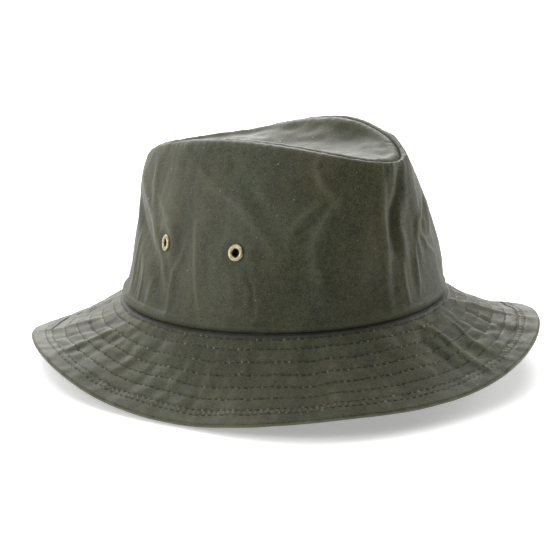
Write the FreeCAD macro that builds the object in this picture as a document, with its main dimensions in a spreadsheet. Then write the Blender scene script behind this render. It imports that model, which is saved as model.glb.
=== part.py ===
import FreeCAD, Part
import math
import os

import Sketcher
from FreeCAD import Placement, Rotation, Vector

# Soft-brimmed outdoor hat of waxed cotton, in millimetres, as separate sewn pieces.
#
# Every piece is drawn in the hat's own level frame: the crown's lower edge lies in the plane z = 0,
# -Y is the front, +X is the wearer's left, +Z is up. The angle "turn" runs round the hat from the
# front (0 degrees) by the left side (90) and the back (180). Each piece's Placement then sets the
# whole hat down on its brim, nose up by "pitch", with the origin under the middle of its box.

DIMENSIONS = (
    ("base_half_length", 103.0, "crown at its lower edge, front to back, outside"),
    ("base_half_width", 86.5, "crown at its lower edge, side to side, outside"),
    ("ridge_half_length", 94.5, "crown at the ridge round its top, front to back"),
    ("ridge_half_width", 43.0, "crown at the ridge round its top, side to side"),
    ("ridge_height", 91.0, "mean height of the ridge"),
    ("ridge_front_rise", 4.7, "the ridge stands higher in front than behind"),
    ("ridge_side_rise", 8.4, "the ridge stands higher at the sides than at the ends"),
    ("ridge_lean", -1.6, "the left of the ridge is dented lower than the right"),
    ("wall_bulge", 2.5, "mean outward swell of the crown wall at half height"),
    ("wall_bulge_front", 2.2, "the wall swells more in front"),
    ("wall_bulge_side", 2.4, "the wall swells more at the sides"),
    ("wall_bulge_pinch", 4.0, "the wall sinks either side of the front"),
    ("shoulder_swell", 3.0, "outward reach of the rounded shoulder's control row"),
    ("shoulder_rise", 1.5, "height of that row above the ridge line"),
    ("lip_rise", 0.8, "shoulder's cloth above the ridge line where it turns down into the seam"),
    ("seam_inset", 4.0, "tip seam, inward from the ridge"),
    ("seam_drop", 1.6, "tip seam, below the ridge"),
    ("seam_turn_in", 3.0, "seam allowance turned down inside the tip seam"),
    ("tip_dent", 5.0, "depth of the lengthwise dent in the tip"),
    ("brim_width", 60.0, "brim, measured along the cloth"),
    ("brim_drop", 1.1, "brim's upper face below the crown's lower edge"),
    ("brim_tuck", 0.2, "brim's inner edge, inside the crown's outer face"),
    ("brim_slope", 27.4, "mean downward slope of the brim in degrees"),
    ("brim_slope_front", 8.7, "extra slope in front, less behind"),
    ("brim_slope_side", 4.25, "extra slope at the two sides"),
    ("brim_slope_three", -4.7, "three-fold wave of the slope"),
    ("brim_slope_four", 7.45, "four-fold wave of the slope"),
    ("brim_twist_one", -3.7, "slope, left against right"),
    ("brim_twist_two", -0.9, "slope, one diagonal against the other"),
    ("brim_twist_three", -4.15, "three-fold sideways wave of the slope"),
    ("brim_camber", -4.6, "bow of the brim between its edges: it drops off the crown, then flattens"),
    ("cloth", 0.8, "waxed cotton shell"),
    ("interlining", 0.9, "stiffener inside the brim"),
    ("lining_cloth", 0.4, "light cotton lining"),
    ("band_cloth", 1.2, "padded sweatband"),
    ("ply_gap", 0.06, "air between sewn layers"),
    ("lining_depth_low", 1.1, "lining, inside the crown's outer face at its lower edge"),
    ("lining_depth_high", 3.0, "lining, inside the crown's outer face above the sweatband"),
    ("band_gap", 0.3, "air between the lining and the sweatband"),
    ("band_height", 36.0, "sweatband's top edge above the crown's lower edge"),
    ("band_foot", 1.0, "sweatband's and lining's lower edge above the crown's lower edge"),
    ("lining_step", 30.0, "height over which the lining leaves the wall"),
    ("lining_top", 0.93, "lining's top edge, as a part of the ridge height"),
    ("lining_tip_drop", 6.0, "lining's tip, below the tip"),
    ("lining_tip_inset", 3.2, "lining's tip, inward from the ridge"),
    ("wall_top", 0.92, "last plain row of the crown wall, as a part of the ridge height"),
    ("binding_cloth", 0.6, "binding folded round the brim's edge"),
    ("binding_reach", 12.6, "binding's width on each face of the brim"),
    ("brim_edge_gap", 2.4, "brim's raw edge, inside the fold of the binding"),
    ("thread", 0.45, "sewing thread"),
    ("join_row", 2.5, "row of stitching that holds the seam to the crown, outward from the crown"),
    ("first_row", 8.0, "first evenly spaced row of brim stitching, outward from the crown"),
    ("row_pitch", 8.0, "spacing of the brim's stitching rows"),
    ("row_count", 5, "evenly spaced rows of brim stitching"),
    ("edge_row", 48.0, "inner row of the double row at the binding"),
    ("edge_row_gap", 3.5, "gap between the two rows of the double row"),
    ("eyelet_rim", 5.0, "outer radius of an eyelet's rolled flange"),
    ("eyelet_bore", 2.4, "radius of an eyelet's open hole"),
    ("eyelet_barrel", 2.8, "outer radius of an eyelet's barrel"),
    ("eyelet_roll", 0.9, "height of an eyelet's rolled flange"),
    ("washer_rim", 4.7, "outer radius of the washer behind an eyelet"),
    ("washer_plate", 0.4, "thickness of the washer behind an eyelet"),
    ("washer_bore", 2.9, "radius of the washer's hole and of the hole in the crown"),
    ("washer_seat", 1.25, "washer's near face, inside the crown's outer face"),
    ("eyelet_curl", 3.7, "outer radius of the barrel's end, curled over the washer"),
    ("eyelet_curl_seat", 1.71, "near face of the curl, inside the crown's outer face"),
    ("eyelet_end", 2.15, "far end of the curl, inside the crown's outer face"),
    ("eyelet_seat", 0.06, "flange's near face, above the crown's outer face"),
    ("eyelet_round", 0.35, "rounding of the flange's top edges"),
    ("eyelet_front_height", 44.0, "front eyelets above the crown's lower edge"),
    ("eyelet_rear_height", 41.5, "rear eyelets above the crown's lower edge"),
    ("eyelet_middle_turn", 90.5, "middle of a pair of eyelets, from the front"),
    ("eyelet_half_spread", 17.0, "half the angle between a pair's eyelets"),
    ("base_thread_inset", 0.45, "crown-to-brim thread, inside the crown's outer face"),
    ("base_thread_level", -0.62, "height of the crown-to-brim thread"),
    ("band_thread_inset", 2.0, "sweatband's thread, inside the crown's outer face"),
    ("band_thread_level", 0.0, "height of the sweatband's thread"),
    ("back_seam_foot", 0.08, "lower end of the back seam's thread, as a part of the ridge height"),
    ("back_seam_top", 0.85, "upper end of the back seam's thread, as a part of the ridge height"),
    ("pitch", 3.9, "nose-up pitch at which the hat stands on its brim"),
)

STATIONS = 72
TURNS = [2 * math.pi * i / STATIONS for i in range(STATIONS)]
STEP = TURNS[1]
UP = Vector(0, 0, 1)
NUDGE = 0.01
WALL_ROWS = 7
LINING_ROWS = 9
BAND_ROWS = 5
BRIM_ROWS = 15
BINDING_ROWS = 5
BACK_SEAM_ROWS = 6
TIP_ROWS_LONG = 25
TIP_ROWS_WIDE = 17


def make_sheet(doc):
    """Fill the spreadsheet with the driving dimensions and give their values by name."""
    sheet = doc.addObject("Spreadsheet::Sheet", "Dimensions")
    for row, (alias, value, meaning) in enumerate(DIMENSIONS, start=1):
        sheet.set(f"A{row}", meaning)
        sheet.set(f"B{row}", str(value))
        sheet.setAlias(f"B{row}", alias)
    doc.recompute()
    return {alias: float(sheet.get(alias)) for alias, _, _ in DIMENSIONS}


doc = FreeCAD.newDocument("SoftBrimHat")
size = make_sheet(doc)


# ---- The hat's surfaces ------------------------------------------------------------------------

def oval(turn, half_width, half_length):
    return Vector(half_width * math.sin(turn), -half_length * math.cos(turn), 0)


def outward(turn, half_width, half_length):
    """Level unit normal of an oval."""
    across = Vector(half_length * math.sin(turn), -half_width * math.cos(turn), 0)
    return across.normalize()


def base_point(turn):
    return oval(turn, size["base_half_width"], size["base_half_length"])


def base_outward(turn):
    return outward(turn, size["base_half_width"], size["base_half_length"])


def ridge_point(turn):
    """Highest line of the crown wall: high at the sides, low at the two ends of the dent."""
    point = oval(turn, size["ridge_half_width"], size["ridge_half_length"])
    point.z = (size["ridge_height"] + size["ridge_front_rise"] * math.cos(turn)
               - size["ridge_side_rise"] * math.cos(2 * turn) + size["ridge_lean"] * math.sin(turn))
    return point


def ridge_outward(turn):
    return outward(turn, size["ridge_half_width"], size["ridge_half_length"])


def wall_point(turn, climb):
    """Outer face of the crown wall; climb runs from 0 at the lower edge to 1 at the ridge."""
    bulge = (size["wall_bulge"] + size["wall_bulge_front"] * math.cos(turn)
             - size["wall_bulge_side"] * math.cos(2 * turn)
             - size["wall_bulge_pinch"] * math.cos(3 * turn))
    straight = base_point(turn) * (1 - climb) + ridge_point(turn) * climb
    return straight + base_outward(turn) * bulge * 4 * climb * (1 - climb)


def wall_inward(turn, climb):
    """Unit normal of the crown wall, pointing into the hat."""
    round_it = wall_point(turn + NUDGE, climb) - wall_point(turn - NUDGE, climb)
    up_it = wall_point(turn, min(climb + NUDGE, 1)) - wall_point(turn, climb - NUDGE)
    return up_it.cross(round_it).normalize()


def seam_point(turn, inset, drop):
    """A line parallel to the ridge, further in and lower."""
    return ridge_point(turn) - ridge_outward(turn) * inset - UP * drop


def brim_slope(turn):
    return math.radians(
        size["brim_slope"] + size["brim_slope_front"] * math.cos(turn)
        - size["brim_slope_side"] * math.cos(2 * turn)
        + size["brim_slope_three"] * math.cos(3 * turn) + size["brim_slope_four"] * math.cos(4 * turn)
        + size["brim_twist_one"] * math.sin(turn) + size["brim_twist_two"] * math.sin(2 * turn)
        + size["brim_twist_three"] * math.sin(3 * turn))


def brim_point(turn, reach, depth):
    """A point of the brim, reach out from the crown along the cloth and depth below its upper face."""
    slope = brim_slope(turn)
    out = base_outward(turn)
    along = out * math.cos(slope) - UP * math.sin(slope)
    normal = out * math.sin(slope) + UP * math.cos(slope)
    part = reach / size["brim_width"]
    bow = size["brim_camber"] * 4 * part * (1 - part)
    return base_point(turn) - UP * size["brim_drop"] + along * reach + normal * (bow - depth)


def tip_height(x, y):
    """Upper face of the tip: a saddle that meets the ridge line, with a lengthwise dent."""
    aside = x / (size["ridge_half_width"] - size["seam_inset"])
    ahead = -y / (size["ridge_half_length"] - size["seam_inset"])
    rim = aside ** 2 + ahead ** 2
    saddle = (size["ridge_height"] + size["ridge_front_rise"] * ahead
              - size["ridge_side_rise"] * (ahead ** 2 - aside ** 2) + size["ridge_lean"] * aside)
    return saddle - size["seam_drop"] - size["tip_dent"] * (1 - min(rim, 1)) ** 2


# ---- Cloth from surfaces -----------------------------------------------------------------------

def smooth_row(row):
    """Control points of the closed cubic curve that passes through a row of points."""
    count = len(row)
    return [row[i] - (row[(i + 1) % count] - row[i] * 2 + row[i - 1]) * (1 / 6) for i in range(count)]


def skin(rows):
    """A face through closed rows of points, smooth round the hat and across the rows."""
    poles = [smooth_row(row) for row in rows]
    degree = min(3, len(rows) - 1)
    spans = len(rows) - degree
    ends = degree + 1
    surface = Part.BSplineSurface()
    surface.buildFromPolesMultsKnots(
        poles, [ends] + [1] * (spans - 1) + [ends], [1] * (STATIONS + 1),
        list(range(spans + 1)), list(range(STATIONS + 1)), False, True, degree, 3)
    return surface.toShape()


def solid_from(faces):
    sewn = Part.Compound(faces)
    sewn.sewShape()
    solid = Part.Solid(sewn.Shells[0])
    if solid.Volume < 0:
        solid.complement()
    return solid


def cloth_ring(near, far, places):
    """A closed band of cloth between two faces, each a function of the turn and a place across it."""
    near_rows = [[near(turn, place) for turn in TURNS] for place in places]
    far_rows = [[far(turn, place) for turn in TURNS] for place in places]
    return solid_from([skin(near_rows), skin(far_rows),
                       skin([near_rows[0], far_rows[0]]), skin([near_rows[-1], far_rows[-1]])])


def evenly(start, end, count):
    return [start + (end - start) * i / (count - 1) for i in range(count)]


def closed_curve(points):
    curve = Part.BSplineCurve()
    curve.interpolate(Points=points, PeriodicFlag=True)
    return Part.Wire([curve.toShape()])


# ---- The sewn pieces ---------------------------------------------------------------------------

def crown_side_shape():
    """The wall, its rounded shoulder, and the allowance turned down inside the tip seam."""
    shoulder, lip, seam, allowance = "shoulder", "lip", "seam", "allowance"

    def place_on(turn, place, depth):
        if place == shoulder:
            swell = ridge_outward(turn) * (size["shoulder_swell"] - depth)
            return ridge_point(turn) + swell + UP * (size["shoulder_rise"] - depth)
        inset = size["seam_inset"] - depth
        if place == lip:
            return seam_point(turn, inset, depth - size["lip_rise"])
        if place == seam:
            return seam_point(turn, inset, size["seam_drop"])
        if place == allowance:
            return seam_point(turn, inset, size["seam_drop"] + size["seam_turn_in"])
        return wall_point(turn, place) + wall_inward(turn, place) * depth

    places = evenly(0, size["wall_top"], WALL_ROWS) + [shoulder, lip, seam, allowance]
    wall = cloth_ring(lambda turn, place: place_on(turn, place, 0),
                      lambda turn, place: place_on(turn, place, size["cloth"]), places)
    for turn, height in EYELETS.values():
        wall = wall.cut(eyelet_hole(turn, height))
    return wall.Solids[0]


def eyelet_frame(turn, height):
    """Placement of an eyelet: its Z axis leaves the crown wall squarely, its Y axis is uphill."""
    climb = height / ridge_point(turn).z
    out = -wall_inward(turn, climb)
    aside = UP.cross(out).normalize()
    return Placement(wall_point(turn, climb), Rotation(aside, out.cross(aside), out, "ZXY"))


def eyelet_hole(turn, height):
    through = 2 * size["washer_seat"]
    hole = Part.makeCylinder(size["washer_bore"], 2 * through, Vector(0, 0, -through))
    hole.Placement = eyelet_frame(turn, height)
    return hole


def tip_shape(inset, drop, thickness):
    """A cloth on the tip's saddle surface, or parallel below it, trimmed to an oval."""
    half_width = size["ridge_half_width"] + size["seam_inset"]
    half_length = size["ridge_half_length"] + size["seam_inset"]
    along = evenly(-half_length, half_length, TIP_ROWS_LONG)
    across = evenly(-half_width, half_width, TIP_ROWS_WIDE)
    grid = [[Vector(x, y, tip_height(x, y) - drop) for y in along] for x in across]
    surface = Part.BSplineSurface()
    surface.interpolate(grid)
    slab = surface.toShape().extrude(UP * -thickness)
    outline = [seam_point(turn, inset, 0) for turn in TURNS]
    flat = [Vector(point.x, point.y, 0) for point in outline]
    prism = Part.Face(closed_curve(flat)).extrude(UP * 2 * size["ridge_height"])
    return slab.common(prism).Solids[0]


def tip_seam_thread_shape():
    """The seam's thread, in the corner between the tip's cloth and the turned-down allowance."""
    near = size["seam_inset"] + size["ply_gap"]
    top = size["seam_drop"] + size["cloth"] + 2 * size["thread"]
    return cloth_ring(lambda turn, deep: seam_point(turn, near, top + deep),
                      lambda turn, deep: seam_point(turn, near + size["thread"], top + deep),
                      [0, size["thread"]])


def lining_depth(height):
    """Lining's outer face inside the crown's outer face: close at the foot, free above the band."""
    part = min(height / size["lining_step"], 1)
    blend = part * part * (3 - 2 * part)
    return size["lining_depth_low"] + (size["lining_depth_high"] - size["lining_depth_low"]) * blend


def inside_wall(turn, height, extra):
    """A point inside the crown wall, on the lining's outer face or extra further in."""
    climb = height / ridge_point(turn).z
    return wall_point(turn, climb) + wall_inward(turn, climb) * (lining_depth(height) + extra)


def lining_side_shape():
    def at(turn, part, extra):
        top = size["lining_top"] * ridge_point(turn).z
        return inside_wall(turn, size["band_foot"] + (top - size["band_foot"]) * part, extra)

    return cloth_ring(lambda turn, part: at(turn, part, 0),
                      lambda turn, part: at(turn, part, size["lining_cloth"]), evenly(0, 1, LINING_ROWS))


def sweatband_shape():
    near = size["lining_cloth"] + size["band_gap"]
    heights = evenly(size["band_foot"], size["band_height"], BAND_ROWS)
    return cloth_ring(lambda turn, height: inside_wall(turn, height, near),
                      lambda turn, height: inside_wall(turn, height, near + size["band_cloth"]), heights)


def brim_layer_shape(depth, thickness):
    places = evenly(-size["brim_tuck"], size["brim_width"] - size["brim_edge_gap"], BRIM_ROWS)
    return cloth_ring(lambda turn, reach: brim_point(turn, reach, depth),
                      lambda turn, reach: brim_point(turn, reach, depth + thickness), places)


def brim_binding_shape():
    """A folded strip round the brim's edge: along the upper face, round, and back along the lower."""
    bottom = brim_depths()["brim_lower"] + size["cloth"] + size["ply_gap"]
    rim = size["brim_width"]
    inner = evenly(rim - size["binding_reach"], rim - size["binding_cloth"], BINDING_ROWS)
    outer = evenly(rim - size["binding_reach"], rim, BINDING_ROWS)
    near = [(reach, -size["ply_gap"]) for reach in inner]
    near += [(reach, bottom) for reach in reversed(inner)]
    far = [(reach, -size["ply_gap"] - size["binding_cloth"]) for reach in outer]
    far += [(reach, bottom + size["binding_cloth"]) for reach in reversed(outer)]
    return cloth_ring(lambda turn, place: brim_point(turn, *near[place]),
                      lambda turn, place: brim_point(turn, *far[place]), range(len(near)))


def thread_row_shape(reach, depth):
    """One closed row of stitching, lying on the brim at a depth from its upper face."""
    half = size["thread"] / 2
    return cloth_ring(lambda turn, side: brim_point(turn, reach + side * half, depth),
                      lambda turn, side: brim_point(turn, reach + side * half, depth + size["thread"]),
                      [-1, 1])


def back_seam_thread_shape():
    """The upright seam's thread, up the inside of the crown wall at the back."""
    back = math.pi
    climbs = evenly(size["back_seam_foot"], size["back_seam_top"], BACK_SEAM_ROWS)
    depth = size["cloth"] + 2 * size["ply_gap"] + size["thread"] / 2
    points = [wall_point(back, climb) + wall_inward(back, climb) * depth for climb in climbs]
    curve = Part.BSplineCurve()
    curve.interpolate(points)
    section = Part.Wire([Part.Circle(points[0], points[1] - points[0], size["thread"] / 2).toShape()])
    return Part.Wire([curve.toShape()]).makePipeShell([section], True, False).Solids[0]


def brim_depths():
    """Upper face of each brim layer, below the brim's own upper face."""
    stiffener = size["cloth"] + size["ply_gap"]
    return {"brim_upper": 0, "brim_interlining": stiffener,
            "brim_lower": stiffener + size["interlining"] + size["ply_gap"]}


def thread_rows():
    """Reach and faces of each row of brim stitching: the outer two go through the binding."""
    under = brim_depths()["brim_lower"] + size["cloth"]
    rows = [(size["join_row"], 0)]
    rows += [(size["first_row"] + size["row_pitch"] * i, 0) for i in range(int(size["row_count"]))]
    through = size["binding_cloth"] + size["ply_gap"]
    rows += [(size["edge_row"], through), (size["edge_row"] + size["edge_row_gap"], through)]
    shapes = {}
    for number, (reach, cover) in enumerate(rows, start=1):
        above = -cover - size["ply_gap"] - size["thread"]
        shapes[f"needle_thread_row_{number}"] = thread_row_shape(reach, above)
        shapes[f"bobbin_thread_row_{number}"] = thread_row_shape(reach, under + cover + size["ply_gap"])
    return shapes


def eyelet_places():
    """Turn and height of the four eyelets: a front one and a rear one in each side of the crown."""
    places = {}
    for side, sign in (("left", 1), ("right", -1)):
        for end, offset in (("front", -1), ("rear", 1)):
            turn = sign * (size["eyelet_middle_turn"] + offset * size["eyelet_half_spread"])
            places[f"{side}_{end}"] = (math.radians(turn), size[f"eyelet_{end}_height"])
    return places


EYELETS = eyelet_places()


def cloth_shapes():
    layers = brim_depths()
    under_tip = size["lining_tip_drop"]
    shapes = {
        "crown_side": crown_side_shape(),
        "crown_tip": tip_shape(size["seam_inset"] + size["ply_gap"], 0, size["cloth"]),
        "tip_seam_thread": tip_seam_thread_shape(),
        "back_seam_thread": back_seam_thread_shape(),
        "lining_side": lining_side_shape(),
        "lining_tip": tip_shape(size["lining_tip_inset"], under_tip, size["lining_cloth"]),
        "sweatband": sweatband_shape(),
        "brim_upper": brim_layer_shape(layers["brim_upper"], size["cloth"]),
        "brim_interlining": brim_layer_shape(layers["brim_interlining"], size["interlining"]),
        "brim_lower": brim_layer_shape(layers["brim_lower"], size["cloth"]),
        "brim_binding": brim_binding_shape(),
    }
    shapes.update(thread_rows())
    return shapes


# ---- The hardware and the oval threads, from features ------------------------------------------

def origin_plane(body, role):
    return next(plane for plane in body.Origin.OriginFeatures if plane.Role == role)


def flat_sketch(body, name, role):
    sketch = body.newObject("Sketcher::SketchObject", name)
    sketch.AttachmentSupport = (origin_plane(body, role), [""])
    sketch.MapMode = "FlatFace"
    return sketch


def bind_corner(sketch, line, name, across, along):
    """Fix a line's start by two dimensions, each given as (sign, expression)."""
    for kind, part, (sign, expression) in (("DistanceX", "x", across), ("DistanceY", "y", along)):
        first, last = ((-1, 1), (line, 1)) if sign > 0 else ((line, 1), (-1, 1))
        value = size[expression]
        index = sketch.addConstraint(Sketcher.Constraint(kind, *first, *last, value))
        sketch.renameConstraint(index, f"{name}_{part}")
        sketch.setExpression(f"Constraints.{name}_{part}", f"Dimensions.{expression}")


def profile(body, name, corners):
    """A closed outline in the XZ plane whose corners are all bound to the sheet."""
    sketch = flat_sketch(body, name, "XZ_Plane")
    points = [Vector(x_sign * size[x_name], y_sign * size[y_name], 0)
              for (x_sign, x_name), (y_sign, y_name) in corners]
    count = len(points)
    for i in range(count):
        sketch.addGeometry(Part.LineSegment(points[i], points[(i + 1) % count]))
    for i in range(count):
        sketch.addConstraint(Sketcher.Constraint("Coincident", i, 2, (i + 1) % count, 1))
    for i, (across, along) in enumerate(corners):
        bind_corner(sketch, i, f"corner{i + 1}", across, along)
    return sketch


def make_eyelet(name, turn, height):
    """A rolled flange outside, a barrel through the cloth, and its end curled over the washer."""
    body = doc.addObject("PartDesign::Body", name)
    corners = (
        ((1, "eyelet_bore"), (-1, "eyelet_end")),
        ((1, "eyelet_curl"), (-1, "eyelet_end")),
        ((1, "eyelet_curl"), (-1, "eyelet_curl_seat")),
        ((1, "eyelet_barrel"), (-1, "eyelet_curl_seat")),
        ((1, "eyelet_barrel"), (1, "eyelet_seat")),
        ((1, "eyelet_rim"), (1, "eyelet_seat")),
        ((1, "eyelet_rim"), (1, "eyelet_roll")),
        ((1, "eyelet_bore"), (1, "eyelet_roll")),
    )
    turned = body.newObject("PartDesign::Revolution", f"{name}_turned")
    turned.Profile = profile(body, f"{name}_outline", corners)
    turned.ReferenceAxis = (turned.Profile[0], ["V_Axis"])
    turned.Angle = 360
    doc.recompute()
    rolled = body.newObject("PartDesign::Fillet", f"{name}_rolled")
    top = [f"Edge{i}" for i, edge in enumerate(turned.Shape.Edges, start=1)
           if edge.BoundBox.ZMin > size["eyelet_roll"] - size["eyelet_seat"]]
    rolled.Base = (turned, top)
    rolled.setExpression("Radius", "Dimensions.eyelet_round")
    body.Placement = STANDING * eyelet_frame(turn, height)
    return body


def make_washer(name, turn, height):
    """A flat ring behind the crown's cloth, under the eyelet's curled end."""
    body = doc.addObject("PartDesign::Body", name)
    sketch = flat_sketch(body, f"{name}_rings", "XY_Plane")
    for ring, alias in enumerate(("washer_rim", "washer_bore")):
        sketch.addGeometry(Part.Circle(Vector(), UP, size[alias]))
        sketch.addConstraint(Sketcher.Constraint("Coincident", ring, 3, -1, 1))
        index = sketch.addConstraint(Sketcher.Constraint("Radius", ring, size[alias]))
        sketch.renameConstraint(index, alias)
        sketch.setExpression(f"Constraints.{alias}", f"Dimensions.{alias}")
    plate = body.newObject("PartDesign::Pad", f"{name}_plate")
    plate.Profile = sketch
    plate.setExpression("Length", "Dimensions.washer_plate")
    plate.Reversed = True
    seat = Placement(Vector(0, 0, -size["washer_seat"]), Rotation())
    body.Placement = STANDING * eyelet_frame(turn, height) * seat
    return body


def make_oval_thread(name, inset_alias, level):
    """A thread sewn once round the crown's lower edge."""
    path = doc.addObject("Part::Ellipse", f"{name}_path")
    path.setExpression("MajorRadius", f"Dimensions.base_half_length - Dimensions.{inset_alias}")
    path.setExpression("MinorRadius", f"Dimensions.base_half_width - Dimensions.{inset_alias}")
    path.Placement = Placement(Vector(0, 0, level), Rotation(UP, 90))
    section = doc.addObject("Part::Circle", f"{name}_section")
    section.setExpression("Radius", "Dimensions.thread / 2")
    start = Vector(0, size["base_half_length"] - size[inset_alias], level)
    section.Placement = Placement(start, Rotation(Vector(0, 1, 0), 90))
    thread = doc.addObject("Part::Sweep", name)
    thread.Sections = [section]
    thread.Spine = (path, ["Edge1"])
    thread.Solid = True
    thread.Frenet = True
    thread.Placement = STANDING
    return thread


# ---- The document ------------------------------------------------------------------------------

def standing_placement(shapes):
    """Pitch the hat nose up and bring the bottom centre of its box to the origin."""
    nose_up = Placement(Vector(), Rotation(Vector(1, 0, 0), -size["pitch"]))
    whole = Part.Compound([shapes["crown_side"], shapes["brim_binding"]])
    whole.Placement = nose_up
    box = whole.optimalBoundingBox(False)
    return Placement(Vector(-box.Center.x, -box.Center.y, -box.ZMin), nose_up.Rotation)


def make_cloth(name, shape):
    feature = doc.addObject("Part::Feature", name)
    feature.Shape = shape
    feature.Placement = STANDING
    return feature


SHAPES = cloth_shapes()
STANDING = standing_placement(SHAPES)

pieces = [make_cloth(name, shape) for name, shape in SHAPES.items()]
pieces.append(make_oval_thread("crown_base_thread", "base_thread_inset", size["base_thread_level"]))
pieces.append(make_oval_thread("sweatband_thread", "band_thread_inset", size["band_thread_level"]))
for place, (turn, height) in EYELETS.items():
    pieces.append(make_eyelet(f"eyelet_{place}", turn, height))
    pieces.append(make_washer(f"eyelet_washer_{place}", turn, height))
doc.recompute()

for item in doc.Objects:
    if "Invalid" in item.State or "Error" in item.State:
        raise RuntimeError(f"{item.Name} did not build: {item.State}")
for piece in pieces:
    if piece.Shape.isNull() or not piece.Shape.isValid():
        raise RuntimeError(f"{piece.Label} has no valid shape")

os.makedirs("parts", exist_ok=True)
for piece in pieces:
    piece.Shape.exportStep(f"parts/{piece.Label}.step")
    print(f"{piece.Label}: {piece.Shape.Volume:.1f} mm3, {len(piece.Shape.Solids)} solid")
whole = Part.Compound([piece.Shape for piece in pieces]).optimalBoundingBox(False)
print("box", whole)
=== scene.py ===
import math

import bpy
import numpy as np
from mathutils import Matrix, Vector


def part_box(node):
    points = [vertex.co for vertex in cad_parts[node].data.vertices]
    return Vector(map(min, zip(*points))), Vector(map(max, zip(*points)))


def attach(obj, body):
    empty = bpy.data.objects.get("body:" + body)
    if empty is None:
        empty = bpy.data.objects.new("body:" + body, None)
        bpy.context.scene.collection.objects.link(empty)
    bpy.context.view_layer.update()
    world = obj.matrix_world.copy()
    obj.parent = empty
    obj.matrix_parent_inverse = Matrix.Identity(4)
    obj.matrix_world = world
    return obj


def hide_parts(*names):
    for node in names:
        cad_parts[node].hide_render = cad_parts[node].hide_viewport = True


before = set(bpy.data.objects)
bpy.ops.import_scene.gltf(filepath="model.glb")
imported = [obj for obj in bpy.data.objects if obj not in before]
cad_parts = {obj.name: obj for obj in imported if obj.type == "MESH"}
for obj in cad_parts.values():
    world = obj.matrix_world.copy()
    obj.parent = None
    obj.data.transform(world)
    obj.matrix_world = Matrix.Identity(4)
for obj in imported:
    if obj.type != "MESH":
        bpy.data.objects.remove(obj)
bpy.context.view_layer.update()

# A soft outdoor hat of waxed cotton. Shapes are worked out in millimetres in the hat's own level
# frame, as in the CAD model: the crown's lower edge is the plane z = 0, -Y is the front, +X the
# wearer's left, and a "turn" runs round the hat from the front by the left side. to_row() pitches
# the hat nose up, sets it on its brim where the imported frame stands, and gives metres.

MM = 0.001
BASE_LENGTH, BASE_WIDTH = 103.0, 86.5  # half axes of the crown at its lower edge
RIDGE_LENGTH, RIDGE_WIDTH = 94.5, 43.0  # half axes of the crown at the ridge round its top
# Mean height of the ridge and its changes round the hat, and the wall's swell at half height.
RIDGE_HEIGHT, RIDGE_FRONT, RIDGE_SIDE, RIDGE_LEAN = 91.0, 4.7, 8.4, -1.6
BULGE, BULGE_FRONT, BULGE_SIDE, BULGE_PINCH = 2.5, 2.2, 2.4, 4.0
RIDGE_LIFTS = ((68, 20, 3.4), (40, 14, 1.4), (118, 20, -3.4), (172, 24, 4.2))  # turn, spread, rise
SEAM_INSET, SEAM_DROP = 4.0, 1.6
TIP_DENT = 5.0
BRIM_WIDTH, BRIM_DROP, BRIM_CAMBER = 60.0, 1.1, -4.6  # along the cloth, below the crown, its bow
SLOPE_COS = (27.4, 8.7, -4.25, -4.7, 7.45)  # the brim's slope round the hat, in degrees
SLOPE_SIN = (0.0, -3.7, -0.9, -4.15)
CLOTH, STIFFENER, LINING_CLOTH, BAND_CLOTH, BINDING_CLOTH = 0.8, 0.9, 0.4, 1.2, 0.6
PLY_GAP = 0.06
LOWER_DEPTH = CLOTH + STIFFENER + 2 * PLY_GAP
BRIM_THICK = LOWER_DEPTH + CLOTH
BINDING_START = BRIM_WIDTH - 12.6
BINDING_FACES = (-PLY_GAP - BINDING_CLOTH, BRIM_THICK + PLY_GAP + BINDING_CLOTH)  # their depths
ROWS = (2.5, 8.0, 16.0, 24.0, 32.0, 40.0)  # rings of stitching, outward from the crown
EDGE_ROWS = (48.0, 51.5)  # the double row that holds the binding
ALL_ROWS = ROWS + EDGE_ROWS
STITCH, STITCH_PITCH, THREAD = 2.8, 4.0, 0.38  # a stitch's length and spacing, and its thickness
BAND_HEIGHT, BAND_FOOT, BAND_GAP = 36.0, 1.0, 0.3
# The lining's depth in the wall low down and past the step, and its top as a share of the ridge.
LINING_LOW, LINING_HIGH, LINING_STEP, LINING_TOP = 1.1, 3.0, 30.0, 0.93
LINING_TIP_DROP, LINING_TIP_INSET = 6.0, 3.2
# Each eyelet's turn in degrees, its height, and the tilt of the cloth there, forward and upward.
EYELETS = {"left_front": (73.5, 44.0, 0.0, 0.0), "left_rear": (107.5, 41.5, 0.0, 0.0),
           "right_front": (-73.5, 44.0, 0.0, 0.05), "right_rear": (-107.5, 41.5, 0.12, 0.19)}
EYELET_HOLE = 2.9
PITCH = math.radians(3.9)
WHOLE_TURN = 2 * math.pi
NUDGE = 0.01  # step of turn or climb that a slope is measured over


# ---- The hat's surfaces, in millimetres ----

def turns(count):
    return np.arange(count) * WHOLE_TURN / count


def stack(x, y, z):
    return np.stack(np.broadcast_arrays(x, y, z), -1).astype(float)


def unit(vectors):
    return vectors / np.maximum(np.linalg.norm(vectors, axis=-1, keepdims=True), 1e-9)


def up(height):
    return stack(0 * height, 0 * height, height)


def wide(values):
    """One more axis, so that a number per point can scale a vector per point."""
    return np.asarray(values, float)[..., None]


def hump(distance, width):
    """A smooth bump that is 1 at no distance and almost 0 past twice the width."""
    return np.exp(-(distance / width) ** 2)


def smooth_step(low, high, value):
    part = np.clip((value - low) / (high - low), 0, 1)
    return part * part * (3 - 2 * part)


def between(value, start, full, fading, end):
    """Rises from 0 at start to 1 at full, and falls from 1 at fading to 0 at end."""
    return smooth_step(start, full, value) * (1 - smooth_step(fading, end, value))


def oval(turn, half_width, half_length):
    return stack(half_width * np.sin(turn), -half_length * np.cos(turn), 0 * turn)


def outward(turn, half_width, half_length):
    return unit(stack(half_length * np.sin(turn), -half_width * np.cos(turn), 0 * turn))


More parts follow.
